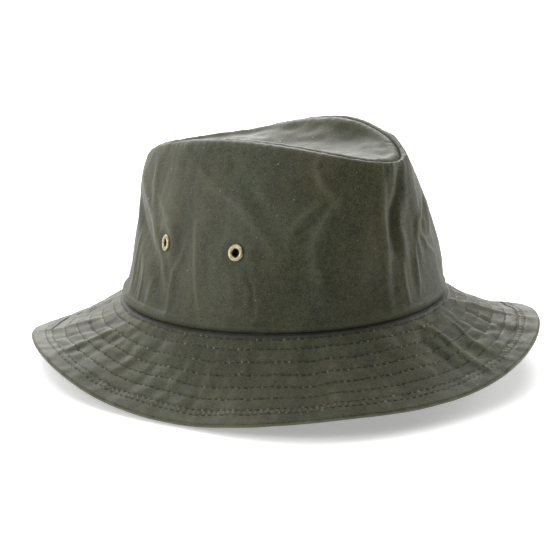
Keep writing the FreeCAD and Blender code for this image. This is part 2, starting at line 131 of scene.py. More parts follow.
def base_point(turn):
    return oval(turn, BASE_WIDTH, BASE_LENGTH)


def base_outward(turn):
    return outward(turn, BASE_WIDTH, BASE_LENGTH)


def turn_gap(turn, degrees):
    """Signed turn from a place given in degrees, the short way round."""
    return (turn - math.radians(degrees) + math.pi) % WHOLE_TURN - math.pi


def turn_hump(turn, place, spread):
    return hump(turn_gap(turn, place), math.radians(spread))


def ridge_lift(turn):
    return sum(rise * turn_hump(turn, place, spread) for place, spread, rise in RIDGE_LIFTS)


def ridge_height(turn):
    return (RIDGE_HEIGHT + RIDGE_FRONT * np.cos(turn) - RIDGE_SIDE * np.cos(2 * turn)
            + RIDGE_LEAN * np.sin(turn) + ridge_lift(turn))


def ridge_point(turn):
    return oval(turn, RIDGE_WIDTH, RIDGE_LENGTH) + up(ridge_height(turn))


def ridge_outward(turn):
    return outward(turn, RIDGE_WIDTH, RIDGE_LENGTH)


def wall_point(turn, climb):
    """Outer face of the crown wall; climb runs from 0 at the lower edge to 1 at the ridge."""
    bulge = (BULGE + BULGE_FRONT * np.cos(turn) - BULGE_SIDE * np.cos(2 * turn)
             - BULGE_PINCH * np.cos(3 * turn))
    straight = base_point(turn) * wide(1 - climb) + ridge_point(turn) * wide(climb)
    return straight + base_outward(turn) * wide(bulge * 4 * climb * (1 - climb))


def wall_outward(turn, climb):
    round_it = wall_point(turn + NUDGE, climb) - wall_point(turn - NUDGE, climb)
    up_it = wall_point(turn, climb + NUDGE) - wall_point(turn, climb - NUDGE)
    return unit(np.cross(round_it, up_it))


def seam_point(turn, inset, drop):
    return ridge_point(turn) - ridge_outward(turn) * wide(inset) - up(drop)


def brim_slope(turn):
    degrees = sum(value * np.cos(wave * turn) for wave, value in enumerate(SLOPE_COS))
    degrees = degrees + sum(value * np.sin(wave * turn) for wave, value in enumerate(SLOPE_SIN))
    return np.radians(degrees)


def brim_point(turn, reach, depth):
    """A point of the brim, reach out from the crown along the cloth and depth below its upper face."""
    slope = brim_slope(turn)
    out = base_outward(turn)
    along = out * wide(np.cos(slope)) - up(np.sin(slope))
    normal = out * wide(np.sin(slope)) + up(np.cos(slope))
    reach = reach + row_wobble(turn, reach)
    part = reach / BRIM_WIDTH
    bow = BRIM_CAMBER * 4 * part * (1 - part)
    rise = bow - depth + brim_ripple(turn, reach)
    return base_point(turn) - up(BRIM_DROP) + along * wide(reach) + normal * wide(rise)


def tip_height(x, y):
    """Upper face of the tip: a saddle that meets the ridge line, with a lengthwise dent."""
    aside = x / (RIDGE_WIDTH - SEAM_INSET)
    ahead = -y / (RIDGE_LENGTH - SEAM_INSET)
    rim = np.minimum(aside ** 2 + ahead ** 2, 1)
    saddle = (RIDGE_HEIGHT + RIDGE_FRONT * ahead - RIDGE_SIDE * (ahead ** 2 - aside ** 2)
              + RIDGE_LEAN * aside + ridge_lift(np.arctan2(aside, ahead)) * rim ** 1.5)
    return saddle - SEAM_DROP - TIP_DENT * (1 - rim) ** 2


# ---- Creases and unevenness, in millimetres ----

def soft_noise(points, wavelength, seed, waves=28):
    """A smooth random field of about unit size, the same on every run."""
    rng = np.random.default_rng(seed)
    total = np.zeros(points.shape[:-1])
    for _ in range(waves):
        direction = rng.normal(size=3)
        direction *= WHOLE_TURN / (wavelength * rng.uniform(0.7, 1.5) * np.linalg.norm(direction))
        total += np.sin(points @ direction + rng.uniform(0, WHOLE_TURN))
    return total / math.sqrt(waves / 2)


def ring_noise(turn, across, stretch, wavelength, seed, waves=28):
    """Noise on a ring of cloth, drawn out across the ring by stretch."""
    radius = (BASE_LENGTH + BASE_WIDTH) / 2
    ring = stack(radius * np.sin(turn), radius * np.cos(turn), across / stretch)
    return soft_noise(ring, wavelength, seed, waves)


def roughness(turn, across, layers):
    """Unevenness of a cloth: layers of noise, each as (height, stretch, wavelength, seed)."""
    return sum(height * ring_noise(turn, across, *layer) for height, *layer in layers)


def crease(turn, across, points, axes):
    """Distance from a chain of (turn in degrees, distance across) points, and the share run along it."""
    first = math.radians(points[0][0])
    arc = math.hypot(axes[0] * math.cos(first), axes[1] * math.sin(first))
    gap = turn_gap(turn, points[0][0])
    here = np.stack(np.broadcast_arrays(gap * arc, across), -1)
    chain = [np.array((math.radians(place - points[0][0]) * arc, level)) for place, level in points]
    total = sum(np.linalg.norm(b - a) for a, b in zip(chain, chain[1:]))
    best, share, run = np.full(here.shape[:-1], 1e9), np.zeros(here.shape[:-1]), 0.0
    for a, b in zip(chain, chain[1:]):
        step = b - a
        length = np.linalg.norm(step)
        part = np.clip(((here - a) @ step) / length ** 2, 0, 1)
        distance = np.linalg.norm(here - a - part[..., None] * step, axis=-1)
        closer = distance < best
        best = np.where(closer, distance, best)
        share = np.where(closer, (run + part * length) / total, share)
        run += length
    return best, share


RUB_WIDTH = 2.1  # half width of the rubbed line along a crest


def creases(turn, across, folds, axes_at):
    """Height of a set of creases, and how far their crests are worn pale."""
    height, rub = 0 * (turn + across), 0 * (turn + across)
    for *points, width, rise, wear_and_shading in folds:
        distance, share = crease(turn, across, points, axes_at(points[len(points) // 2][1]))
        taper = np.sin(np.pi * (0.08 + 0.84 * share)) ** 0.6
        height = height + rise * taper * hump(distance, width)
        if wear_and_shading:
            rub = rub + 0.6 * wear_and_shading * taper * hump(distance, RUB_WIDTH)
    return height, rub


# Creases of the crown wall: points as (turn, height), then half width, rise (a valley if below 0)
# and how far the crest is rubbed pale.
WALL_FOLDS = (
    ((-172, 66), (-112, 66), 15, 1.9, 0),
    ((-172, 14), (-118, 14), 10, -1.3, 0),
    ((-146, 60), (-135, 46), (-123, 38), (-115, 32), (-109, 23), (-105, 7), 5, -2.5, 0),
    ((-142, 71), (-127, 57), (-118, 48), (-112, 39), (-106, 29), (-103, 19), 3.4, 1.2, 0.5),
    ((-128, 83), (-125, 69), (-122, 58), (-116, 46), 3.4, 1, 0.7),
    ((-121, 66), (-111, 57), (-102, 48), 2.6, 0.6, 0.3),
    ((-95, 50), (-97, 36), (-100, 28), (-100, 20), (-100, 3), 2.2, 0.9, 0.8),
    ((-107, 36), (-103, 25), 2.4, -0.5, 0),
    ((-92, 57), (-89, 37), (-87, 21), (-84, 3), 1.9, 0.8, 0.9),
    ((-86, 52), (-84, 35), (-81, 18), 3.2, -0.5, 0),
    ((-134, 38), (-133, 21), (-130, 5), 2.2, 0.8, 0.8),
    ((-127, 27), (-125, 6), 2.6, -0.6, 0),
    ((-122, 24), (-120, 4), 2, 0.7, 0.7),
    ((-112, 20), (-113, 5), 2.4, 0.5, 0),
    ((-69, 37), (-66, 24), (-65, 10), 1.6, -0.7, 0),
    ((-74, 34), (-72, 12), 3, 0.5, 0),
    ((-108, 93), (-96, 83), (-89, 77), (-82, 73), (-75, 69), (-70, 62), (-66, 55), (-58, 41),
     3.4, 1.1, 0.4),
    ((-82, 89), (-75, 80), (-70, 72), (-66, 64), (-58, 54), 5, -1.5, 0),
    ((-80, 88), (-63, 90), (-50, 87), 4.5, -0.9, 0),
    ((-48, 96), (-49, 88), (-46, 80), (-42, 74), (-38, 68), 2.4, 1.1, 0.6),
    ((-37, 72), (-42, 65), (-44, 59), (-46, 53), (-47, 45), (-46, 37), (-44, 28), (-42, 14),
     3, 1.7, 0.6),
    ((-45, 70), (-49, 66), (-52, 62), (-56, 54), 2.6, 0.9, 0.4),
    ((-54, 54), (-50, 58), (-46, 63), 2.6, -1.1, 0),
    ((-38, 64), (-40, 45), (-36, 20), 5, -1, 0),
    ((-30, 80), (-27, 50), (-28, 20), 5, 0.5, 0),
    ((-17, 88), (-16, 73), (-17, 62), (-16, 53), (-14, 42), (-15, 30), (-15, 9), 2.8, 1.2, 0.7),
    ((1, 92), (-1, 73), (-6, 65), (-10, 58), (-10, 46), (-11, 38), (-13, 22), (-12, 7), 4.6, -1.2, 0),
    ((0, 82), (-3, 70), (-8, 61), (-10, 50), (-11, 40), 4, -2.3, 0),
    ((-3, 68), (-6, 51), (-4, 42), (-4, 34), 3, 1.5, 0.4),
    ((-6, 29), (-6, 17), (-5, 5), 1.4, 0.7, 0.9),
    ((6, 38), (4, 22), (2, 8), 1.5, 0.9, 0.8),
    ((1, 34), (-1, 10), 2.2, -0.7, 0),
    ((22, 58), (11, 50), (8, 41), (9, 30), 2.2, 0.9, 0.5),
    ((26, 58), (18, 50), (15, 42), 2.6, -1.5, 0),
    ((30, 60), (24, 48), (22, 40), 2.2, 1.4, 0.6),
    ((16, 54), (12, 44), (17, 32), (23, 26), 1.9, 0.7, 0.3),
    ((42, 78), (40, 50), (44, 20), 5, -1.8, 0),
    ((52, 80), (50, 46), (52, 16), 4, 1.2, 0.5),
    ((70, 60), (78, 38), (92, 22), 4, -1.1, 0),
    ((62, 84), (74, 66), (84, 50), 3.5, 1, 0.5),
    ((112, 84), (124, 60), (130, 44), 4, 0.9, 0.4),
    ((118, 74), (136, 48), (132, 18), 4, -1.3, 0),
    ((150, 70), (146, 40), (148, 16), 3.4, 1, 0.5),
    ((160, 64), (164, 36), (160, 12), 4, -1.1, 0),
    ((192, 66), (188, 34), 3.6, 0.9, 0.4),
    ((200, 60), (206, 30), (202, 12), 4, -1.1, 0),
)

# Creases of the brim: points as (turn, reach), then as above.
BRIM_FOLDS = (
    ((-140, 58), (-139.5, 36), (-137, 24), (-132, 9), 2.8, 1.2, 0.7),
    ((-132.5, 52), (-131.5, 35), (-129, 26), (-125, 12), 3.4, -1.2, 0),
    ((-122, 57), (-123, 34), (-122, 24), (-118, 8), 2.6, 1.2, 0.8),
    ((-115, 50), (-117, 26), (-110, 9), 4.5, -1.1, 0),
    ((-105, 50), (-105, 34), (-103, 16), 4, 0.8, 0.3),
    ((-96, 44), (-95, 20), 3.4, -0.5, 0),
    ((-88, 48), (-86, 32), (-84, 20), 3.6, 0.7, 0.3),
    ((-78, 50), (-78, 36), (-79, 24), 3.2, -0.8, 0),
    ((-62, 46), (-63, 14), 4, -0.6, 0),
    ((-56, 40), (-57, 14), 3.4, 0.6, 0),
    ((-40, 50), (-39, 20), 4, 0.6, 0),
    ((25, 4), (32, 17), (33.5, 30), (34, 42), (32.5, 58), 2.8, 1.5, 0.7),
    ((24, 7), (26, 19), (25, 31), (24, 46), 3.2, -1.5, 0),
    ((-5, 3), (0, 11), (2, 20), (2.5, 31), (2.5, 58), 2.4, 1.5, 0.9),
    ((-7, 12), (-4, 30), (-3, 50), 3.2, -0.9, 0),
    ((10, 9), (11, 18), (9, 30), (9.5, 40), 1.8, 0.9, 0.5),
    ((16, 10), (17, 30), (16, 52), 2.6, -0.7, 0),
    ((-13.5, 18), (-11.5, 30), (-11, 46), 3.4, 0.8, 0.3),
    ((48, 10), (46, 54), 4, -1.1, 0),
    ((62, 12), (60, 50), 4, 0.8, 0.4),
    ((80, 12), (82, 54), 4.5, 1, 0.5),
    ((112, 10), (110, 50), 4.5, -1.1, 0),
    ((128, 10), (130, 50), 3.6, 0.8, 0.4),
    ((150, 12), (152, 54), 4.5, 1.1, 0.5),
    ((176, 10), (174, 50), 4.5, -1, 0),
    ((200, 10), (202, 54), 4, 1, 0.5),
)
# Stretches of the brim, as turn and spread in degrees, where the cloth is puckered more.
PUCKERED = ((16, 15), (-120, 14), (95, 20), (170, 16))

# Layers of unevenness, as roughness() reads them.
WALL_ROUGHNESS = ((0.20, 2.2, 24, 3), (0.50, 1.2, 60, 4), (0.06, 1.5, 8, 5))
BRIM_ROUGHNESS = ((0.36, 4.0, 26, 11), (0.20, 2.0, 11, 12))
EYELET_FLAT, EYELET_EASE = 4.6, 10.0  # the cloth is flat under an eyelet, and free past the ease
TILT_FLAT, TILT_EASE = 6, 16  # and tilted with it, out to here


def wall_axes(height):
    climb = height / RIDGE_HEIGHT
    half_width = BASE_WIDTH + (RIDGE_WIDTH - BASE_WIDTH) * climb
    return half_width, BASE_LENGTH + (RIDGE_LENGTH - BASE_LENGTH) * climb


def brim_axes(reach):
    return BASE_WIDTH + reach, BASE_LENGTH + reach


def wall_folds(turn, height):
    """Height and rubbing of the crown's creases, laid flat round each eyelet."""
    rise, rub = creases(turn, height, WALL_FOLDS, wall_axes)
    for place, middle, round_tilt, up_tilt in EYELETS.values():
        centre = np.array(math.radians(place))
        level = creases(centre, np.array(middle), WALL_FOLDS, wall_axes)[0]
        across, above = turn_gap(turn, place) * BASE_LENGTH, height - middle
        away = np.hypot(across, above)
        rise = level + (rise - level) * smooth_step(EYELET_FLAT, EYELET_EASE, away)
        tilt = round_tilt * across + up_tilt * above
        rise = rise + tilt * (1 - smooth_step(TILT_FLAT, TILT_EASE, away))
    return rise * smooth_step(0.5, 9, height), rub * smooth_step(2, 6, height)


def wall_relief(turn, height):
    """How far the crown's cloth stands proud of its plain wall, and its colour shift: painted shade in its
    hollows, painted highlight on its rises, and the rubbing of its crests.
    """
    rise, rub = wall_folds(turn, height)
    rough = roughness(turn, height, WALL_ROUGHNESS)
    for place, middle, _, _ in EYELETS.values():
        away = np.hypot(turn_gap(turn, place) * BASE_LENGTH, height - middle)
        rough = rough * smooth_step(EYELET_FLAT, EYELET_EASE, away)
    seam = np.abs(turn_gap(turn, 180)) * BASE_WIDTH
    joint = 0.35 * hump(seam - 3.0, 2.6) - 0.75 * hump(seam, 0.9)
    foot = 0.22 * hump(height - 5.0, 1.2)
    total = rise + (rough + joint + foot) * smooth_step(0.5, 9, height)
    # Part of the height is painted into the colour: hollows darker as painted shade, rises paler as painted
    # highlight; rub adds rubbed crests.
    return total, 0.30 * total + rub


def row_wobble(turn, reach):
    """How far the sewing strays outward from even rings, as hand-guided rows do."""
    free = between(reach, 0, 10, 50, 59)
    jog = between(turn_gap(turn, 0), -2.2, -1.5, -1.12, -0.99)
    second = between(turn_gap(turn, 0), -0.95, -0.84, -0.79, -0.70)
    stray = 0.28 * ring_noise(turn, reach, 1.5, 34, 13, waves=14)
    return (stray + 0.9 * jog + 0.7 * second * smooth_step(20, 34, reach) - 0.3) * free


def brim_ripple(turn, reach):
    """How far the whole brim bends out of its plain shape."""
    rise = creases(turn, reach, BRIM_FOLDS, brim_axes)[0] + roughness(turn, reach, BRIM_ROUGHNESS)
    return rise * smooth_step(1, 10, reach) * (1 - 0.65 * smooth_step(50, 60, reach))


class StitchRow:
    """Where the stitches of one ring lie: whole phases are the gaps between them."""

    def __init__(self, reach):
        self.turns = np.append(turns(1440), WHOLE_TURN)
        out = base_outward(self.turns) * wide(reach * np.cos(brim_slope(self.turns)))
        path = base_point(self.turns) + out
        steps = np.linalg.norm(np.diff(path, axis=0), axis=1)
        self.lengths = np.concatenate([[0], np.cumsum(steps)])
        self.count = int(self.lengths[-1] / STITCH_PITCH)
        rng = np.random.default_rng(int(reach * 10))
        # How bright each gap's pale mark is: a painted highlight on partly rubbed cloth.
        self.speck_highlights = rng.uniform(0, 1, self.count) ** 2

    def phase(self, turn):
        return np.interp(turn % WHOLE_TURN, self.turns, self.lengths) / self.lengths[-1] * self.count

    def turn_at(self, phase):
        return np.interp((phase % self.count) * self.lengths[-1] / self.count, self.lengths, self.turns)


SEWN = {reach: StitchRow(reach) for reach in ALL_ROWS}
PUFF = 0.16  # the cloth's rise between rows of stitching
STITCH_PULL, ROW_PULL = 0.42, 0.15  # how deep a stitch draws it down, and the whole row
PUCKER, PUCKER_MORE = 0.09, 1.4  # height of the puckers, and how much more where they gather
LOOSE_GAP = 0.75  # half length of the free cloth between two stitches


def quilting(turn, reach, seed, rows):
    """Puff of a brim cloth drawn down at each row of stitching, and the colour shift that goes with it:
    painted shade along the stitches and in pucker hollows, painted highlights between stitches and on
    pucker tops.
    """
    puff, wear_and_shading = PUFF + 0 * turn, 0 * turn
    for row in rows:
        phase = SEWN[row].phase(turn)
        loose = hump(np.abs(phase - np.round(phase)) * STITCH_PITCH, LOOSE_GAP)
        near = reach - row
        pull = STITCH_PULL * hump(near, 0.42) * (1 - 0.85 * loose) + ROW_PULL * hump(near, 1.9)
        puff = puff - pull
        speck_highlight = SEWN[row].speck_highlights[np.round(phase).astype(int) % SEWN[row].count]
        # Under each stitch the cloth is painted darker as shade; in some gaps it is painted pale, a painted
        # highlight on partly rubbed cloth.
        wear_and_shading = wear_and_shading + hump(near, 0.45) * (5.0 * speck_highlight * loose - 2.0 * (1 - loose))
    swell = 1 + PUCKER_MORE * sum(turn_hump(turn, place, spread) for place, spread in PUCKERED)
    pucker = PUCKER * swell * ring_noise(turn, reach, 1.7, 6.5, seed)
    # Pucker tops painted paler as highlight and their hollows darker as shade.
    return puff + pucker, wear_and_shading + 2.4 * pucker


# ---- Meshes ----

def place_on_brim():
    """Where the hat's own origin lies in the row frame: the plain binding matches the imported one."""
    turn = turns(720)
    ripple = brim_ripple(turn, BRIM_WIDTH)
    edge = pitch_up(np.concatenate([brim_point(turn, BRIM_WIDTH, depth + ripple)
                                    for depth in BINDING_FACES]))
    low, high = (np.array(corner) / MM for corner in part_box("brim_binding"))
    shift = (low + high) / 2 - (edge.min(0) + edge.max(0)) / 2
    shift[2] = low[2] - edge[:, 2].min()
    return shift


def pitch_up(points):
    """Nose up about the hat's X axis."""
    cosine, sine = math.cos(PITCH), math.sin(PITCH)
    x, y, z = points[..., 0], points[..., 1], points[..., 2]
    return stack(x, y * cosine + z * sine, z * cosine - y * sine)


STAND = place_on_brim()


def to_row(points):
    return (pitch_up(points) + STAND) * MM


def new_object(name, points, *faces):
    mesh = bpy.data.meshes.new(name)
    points = points.reshape(-1, 3)
    corners = np.concatenate([some.ravel() for some in faces])
    sizes = np.concatenate([np.full(len(some), some.shape[1]) for some in faces])
    mesh.vertices.add(len(points))
    mesh.vertices.foreach_set("co", points.ravel())
    mesh.loops.add(len(corners))
    mesh.loops.foreach_set("vertex_index", corners.astype(np.int32))
    mesh.polygons.add(len(sizes))
    mesh.polygons.foreach_set("loop_start", (np.cumsum(sizes) - sizes).astype(np.int32))
    mesh.update(calc_edges=True)
    mesh.validate()
    mesh.shade_smooth()
    piece = bpy.data.objects.new(name, mesh)
    bpy.context.scene.collection.objects.link(piece)
    return piece


def grid_faces(rows, columns, loop=False):
    """Quads of a grid that closes round its columns, and round its rows too if loop."""
    row = np.arange(rows if loop else rows - 1)[:, None]
    column = np.arange(columns)[None]
    lower, upper, after = row * columns, (row + 1) % rows * columns, (column + 1) % columns
    return np.stack([lower + column, lower + after, upper + after, upper + column], -1).reshape(-1, 4)


def lay_map(piece, across_cloth):
    """The cloth's own map in metres, given for each corner of the mesh."""
    layer = piece.data.uv_layers.new(name="cloth")
    layer.data.foreach_set("uv", across_cloth.astype(np.float32).ravel())


def ring_map(grid):
    """Corner by corner, as grid_faces() lists them: metres round the ring, and across it."""
    rows, columns = grid.shape[:2]
    middle = grid[rows // 4]
    steps = np.linalg.norm(np.roll(middle, -1, axis=0) - middle, axis=1)
    around = np.concatenate([[0], np.cumsum(steps)])
    climbs = np.linalg.norm(np.roll(grid, -1, axis=0) - grid, axis=2).mean(1)
    across = np.concatenate([[0], np.cumsum(climbs)])
    u = around[np.arange(columns)[:, None] + (0, 1, 1, 0)]
    v = across[np.arange(rows)[:, None, None] + (0, 0, 1, 1)]
    return np.stack(np.broadcast_arrays(u, v), -1)


# A quad's sides: the roll of the grid that brings the quad beyond it here, the roll's axis, and the
# side's ends as steps of (row, column).
QUAD_SIDES = ((1, 1, ((1, 0), (0, 0))), (-1, 1, ((0, 1), (1, 1))),
              (1, 0, ((0, 0), (0, 1))), (-1, 0, ((1, 1), (1, 0))))


def cloth_ring(name, near, far, holes=None):
    """A closed band of cloth from two faces, each a grid of points: rows across, columns round.
    holes marks the quads of each face that are cut away; their rims are closed between the faces."""
    rows = np.concatenate([near, far[::-1]])
    count, columns = rows.shape[:2]
    quads = grid_faces(count, columns, loop=True)
    corners = ring_map(to_row(rows)).reshape(-1, 4, 2)
    if holes is None:
        piece = new_object(name, to_row(rows), quads)
        lay_map(piece, corners)
        return piece
    last = len(near) - 1
    gone = np.zeros((count, columns), bool)
    gone[:last] = holes
    gone[last + 1:-1] = holes[::-1]
    rims = []
    for shift, axis, ends in QUAD_SIDES:
        for row, column in zip(*np.nonzero(holes & ~np.roll(holes, shift, axis=axis))):
            (r1, c1), (r2, c2) = ((row + down, (column + along) % columns) for down, along in ends)
            rims.append((r1 * columns + c1, r2 * columns + c2, (count - 1 - r2) * columns + c2,
                         (count - 1 - r1) * columns + c1))
    keep = ~gone.ravel()
    rims = np.array(rims)
    piece = new_object(name, to_row(rows), quads[keep], rims)
    lay_map(piece, np.concatenate([corners[keep], np.zeros((len(rims), 4, 2))]))
    return piece


def finish_piece(piece, material, node, wear_and_shading=None):
    """Material, body and CAD node of a piece. The optional value per point is what the cloth's colour
    reads: above 0 pale, for rubbing and for painted highlights; below 0 dark, for painted shade in folds,
    hollows and seams."""
    if wear_and_shading is not None:
        full = np.zeros(len(piece.data.vertices), np.float32)
        full[:wear_and_shading.size] = wear_and_shading.ravel()
        # Stored as a point attribute: rubbing together with painted shade and painted highlights.
        piece.data.attributes.new("wear_and_shading", "FLOAT", "POINT").data.foreach_set("value", full)
    piece.data.materials.append(material)
    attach(piece, "root")
    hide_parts(node)


# ---- Crown ----

CROWN_COLUMNS = 720
# Section of the wall's rolled lower edge, as (outward, height).
HEM = ((-3.4, -0.2), (-2.4, -0.6), (-1.6, -0.75), (-0.8, -0.7), (-0.2, -0.3), (0.3, 0.5), (0.6, 1.6),
       (0.72, 2.9), (0.65, 4.3))
WALL_START = 0.058  # first row of the wall above the hem, as a climb
WALL_ROWS, SHOULDER_ROWS = 130, 44
SOFT_SHOULDER, SOFT_SPREAD = -168, 48  # where the shoulder slumps most, and over what turn
ALLOWANCE = (0.8, 1.6, 3.0)  # rows of cloth turned down inside the tip seam


def bezier(points, share):
    a, b, c, d = points
    rest = 1 - share
    return a * rest ** 3 + b * 3 * rest ** 2 * share + c * 3 * rest * share ** 2 + d * share ** 3


def row_normals(rows):
    round_it = np.roll(rows, -1, axis=1) - np.roll(rows, 1, axis=1)
    return unit(np.cross(round_it, np.gradient(rows, axis=0)))


def shoulder_rows(turn, wall, back):
    """From the wall's last row over the ridge and down to the tip seam, softer at the back."""
    last, out, ridge = wall[-1], ridge_outward(turn), ridge_point(turn)
    lean = unit(last - wall[-2])
    reach = np.linalg.norm(ridge - last, axis=-1)
    seam = seam_point(turn, SEAM_INSET, SEAM_DROP + 0.5)
    control = (last, last + lean * wide((0.62 - 0.28 * back) * reach),
               ridge + up(2.6 + 2.6 * back) + out * wide(0.6 - 4.4 * back),
               seam + out * 0.2 + up(0.3))
    shoulder = [bezier(control, share) for share in np.linspace(0, 1, SHOULDER_ROWS)[1:]]
    return shoulder + [seam - up(drop) for drop in ALLOWANCE]


def crown_faces():
    """The wall's outer face: a rolled hem, the creased wall, the shoulder and the seam's allowance."""
    turn = turns(CROWN_COLUMNS)
    hem = [base_point(turn) + base_outward(turn) * out + up(height) for out, height in HEM]
    back = turn_hump(turn, SOFT_SHOULDER, SOFT_SPREAD)
    top = 0.86 - 0.14 * back
    wall = [wall_point(turn, WALL_START + (top - WALL_START) * share)
            for share in np.linspace(0, 1, WALL_ROWS)]
    plain = np.array(hem + wall + shoulder_rows(turn, wall, back))
    turn, height = np.broadcast_arrays(turn, plain[..., 2])
    steps = np.linalg.norm(np.diff(plain, axis=0), axis=2)
    edge = np.cumsum(steps[::-1], axis=0)[::-1]
    edge = np.concatenate([edge, np.zeros((1, CROWN_COLUMNS))]) - ALLOWANCE[-1]
    relief, wear_and_shading = wall_relief(turn, height)
    free = smooth_step(0.4, 7.0, edge)
    lip = 0.35 * hump(edge - 1.6, 1.1)
    pucker = 0.08 * ring_noise(turn, 0 * turn, 1, 6, seed=21) * between(edge, 0, 1.5, 4, 12)
    rows = plain + row_normals(plain) * wide(relief * free + lip + pucker)
    # Painted shade: the hem's lowest rows are painted dark where the crown meets the brim.
    painted_groove_shade = 2.8 * hump(height + 0.6, 1.7) * (np.arange(len(plain)) < len(hem) + 4)[:, None]
    fold_rub = 0.7 * hump(height - 2.2, 1.2) * (edge > 20)
    # The lip along the tip seam and the puckers' tops are painted paler as highlight, the puckers' hollows
    # darker as shade.
    return rows, wear_and_shading * free + 0.9 * lip + 2 * pucker - painted_groove_shade + fold_rub, height


def eyelet_holes(height):
    """Marks the quads of the wall inside the eyelets' holes."""
    turn = turns(CROWN_COLUMNS) + math.pi / CROWN_COLUMNS
    middle = (height[:-1] + np.roll(height[1:], -1, axis=1)) / 2
    wall = wall_point(turn, middle / ridge_height(turn))
    return sum(np.linalg.norm(wall - eyelet_centre(place, level), axis=-1) < EYELET_HOLE
               for place, level, _, _ in EYELETS.values()) > 0


def eyelet_centre(place, level):
    turn = math.radians(place) + np.zeros(1)
    return wall_point(turn, level / ridge_height(turn))[0]


def make_crown_side(material):
    rows, wear_and_shading, height = crown_faces()
    inner = rows - row_normals(rows) * CLOTH
    piece = cloth_ring("crown_side_cloth", rows, inner, eyelet_holes(height))
    finish_piece(piece, material, "crown_side", wear_and_shading)


def disc(name, rows, middle):
    """A closed oval of cloth: rows of a closed shell, from one face's middle round to the other's."""
    count, columns = rows.shape[:2]
    first, last, end = count * columns, count * columns + 1, (count - 1) * columns
    here = np.arange(columns)
    after = (here + 1) % columns
    fans = np.concatenate([np.stack([first + 0 * here, after, here], -1),
                           np.stack([last + 0 * here, end + here, end + after], -1)])
    points = to_row(np.concatenate([rows.reshape(-1, 3), np.array(middle)]))
    quads = grid_faces(count, columns)
    piece = new_object(name, points, quads, fans)
    corners = np.concatenate([quads.ravel(), fans.ravel()])
    lay_map(piece, points[corners][:, :2])
    piece.data.flip_normals()
    return piece


# Hollows and swellings of the tip: its point (aside, back), half widths across and along, rise.
TIP_DENTS = (((27, -34), (10, 17), -2.0), ((14, -6), (9, 22), -0.8), ((-18, 10), (8, 26), -1.0),
             ((6, 52), (14, 14), -1.2), ((26, 20), (9, 18), 0.9), ((-6, -66), (9, 9), 1.0))
TIP_COLUMNS, TIP_ROWS = 600, 110


def tip_surface(turn, share):
    """The tip from its middle (share 0) to its seam (share 1), with a puffed lip along the seam."""
    rim = seam_point(turn, SEAM_INSET + PLY_GAP, 0.0)
    x, y = rim[..., 0] * share, rim[..., 1] * share
    gap = (1 - share) * np.linalg.norm(rim[..., :2], axis=-1)
    lip = 1.7 * hump(gap - 4.2, 3.4) - 1.3 * hump(gap, 1.0)
    pucker = 0.10 * ring_noise(turn, gap, 1.5, 6, seed=33) * hump(gap, 6.0)
    dents = sum(rise * np.exp(-((x - px) / wx) ** 2 - ((y - py) / wy) ** 2)
                for (px, py), (wx, wy), rise in TIP_DENTS)
    place = stack(x, y * 0.6, 0 * x)
    rough = 0.45 * soft_noise(place, 26, seed=31) + 0.15 * soft_noise(place, 9, seed=32) + dents
    total = lip + pucker + rough * smooth_step(1, 9, gap)
    # Painted light: the whole tip painted paler as sheen, paler still on the lip inside the seam as a
    # highlight, darker as shade in the seam's hollow and in the dents; pucker tops and hollows likewise.
    wear_and_shading = 2.2 + 0.4 * rough + 0.7 * hump(gap - 3.0, 1.6) - 5.6 * hump(gap, 0.8)
    return stack(x, y, tip_height(x, y) + total), wear_and_shading + 3 * pucker


def make_crown_tip(material):
    turn = turns(TIP_COLUMNS)
    share = 1 - np.linspace(1, 0, TIP_ROWS)[1:, None] ** 1.7
    top, wear_and_shading = tip_surface(turn, share)
    inward = -ridge_outward(turn)
    turned = [top[-1] + inward * further - up(drop)
              for further, drop in ((0.1, 0.8), (0.1, 2.0), (0.1 + CLOTH, 2.0))]
    under = top[-2::-1] - row_normals(top)[-2::-1] * CLOTH
    rows = np.concatenate([top, np.array(turned), under])
    piece = disc("crown_tip_cloth", rows, [[0, 0, row[:, 2].mean()] for row in (top[0], under[-1])])
    finish_piece(piece, material, "crown_tip", wear_and_shading)


# ---- Brim ----

BRIM_COLUMNS, LOWER_COLUMNS, STIFFENER_COLUMNS = 1500, 1000, 360
BRIM_START, BRIM_END = -2.2, BRIM_WIDTH - 2.4
# Places of the points across a row of stitching.
FINE_STEPS = (-2.0, -1.3, -0.8, -0.5, -0.25, 0, 0.25, 0.5, 0.8, 1.3, 2.0)
TUCK_START, TUCK_END = 46.4, 47.4  # where the upper cloth goes down under the binding


def sewn_reaches(start, end, rows):
    """Steps across the brim, close together at each row of stitching."""
    near = [row + step for row in rows for step in FINE_STEPS]
    plain = [reach for reach in np.arange(start, end, 1.0) if all(abs(reach - row) > 2.3 for row in rows)]
    return np.array(sorted({start, end, *(reach for reach in near + plain if start < reach < end)}))


def brim_sheet(reaches, depth, columns, puff=0):
    """A face of the brim as a grid of points; inside the crown it runs on level."""
    turn, reach = np.broadcast_arrays(turns(columns), reaches[:, None])
    flat = np.maximum(reach, 0)
    return brim_point(turn, flat, depth - puff) + base_outward(turn) * wide(reach - flat)


